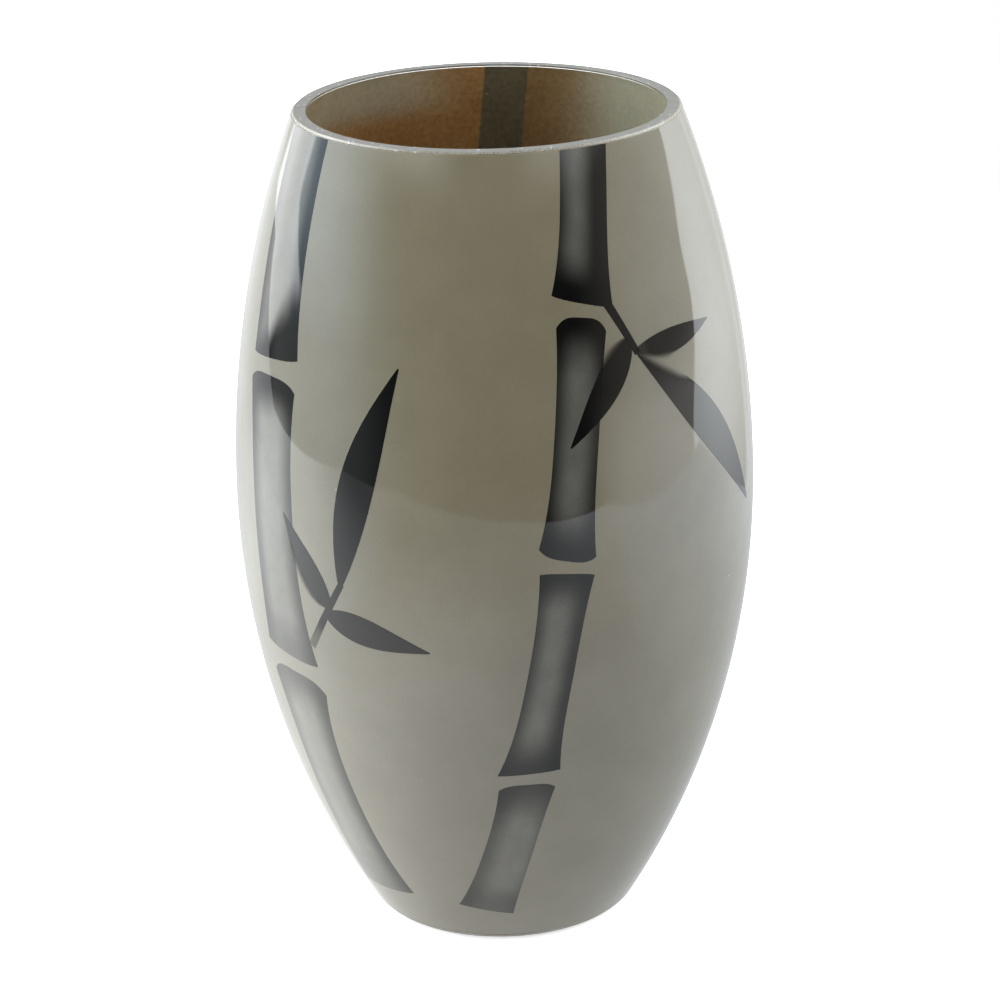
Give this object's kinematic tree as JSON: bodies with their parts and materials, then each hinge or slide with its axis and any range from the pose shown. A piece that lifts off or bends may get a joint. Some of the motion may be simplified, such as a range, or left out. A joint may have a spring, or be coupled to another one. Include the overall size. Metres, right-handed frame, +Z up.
{
  "type": "glass vase",
  "caption": "Tall barrel-shaped blown-glass vase, glossy taupe lacquer outside with airbrushed bamboo culms and leaves, wide open mouth with a ground flat rim, for cut flowers.",
  "frame": {"origin": "centre of the foot, on the plane that the vase stands on", "axes": "+Z up along the axis of the vase, +X to the right as seen from the front, front towards -Y"},
  "size_m": [0.1864, 0.1866, 0.3],
  "materials": {
    "clear_glass": "polished clear glass, satin on the ground rim",
    "taupe_lacquer": "high-gloss sprayed lacquer",
    "silver_grey_spray": "airbrushed silver-grey with near-black edges, glossy",
    "black_spray": "airbrushed black, glossy"
  },
  "bodies": {
    "root": {"glass_body": "clear_glass", "taupe_coat": "taupe_lacquer", "left_culm_top": "silver_grey_spray", "left_culm_middle": "silver_grey_spray", "left_culm_foot": "silver_grey_spray", "front_culm_top": "silver_grey_spray", "front_culm_upper": "silver_grey_spray", "front_culm_lower": "silver_grey_spray", "front_culm_foot": "silver_grey_spray", "back_culm_top": "silver_grey_spray", "back_culm_upper": "silver_grey_spray", "back_culm_lower": "silver_grey_spray", "back_culm_foot": "silver_grey_spray", "left_twig": "black_spray", "front_twig": "black_spray", "back_twig": "black_spray", "left_leaf_tall": "black_spray", "left_leaf_short": "black_spray", "left_leaf_low": "black_spray", "front_leaf_up": "black_spray", "front_leaf_long": "black_spray", "front_leaf_down": "black_spray", "back_leaf_tall": "black_spray", "back_leaf_short": "black_spray", "back_leaf_low": "black_spray"}
  },
  "joints": []
}
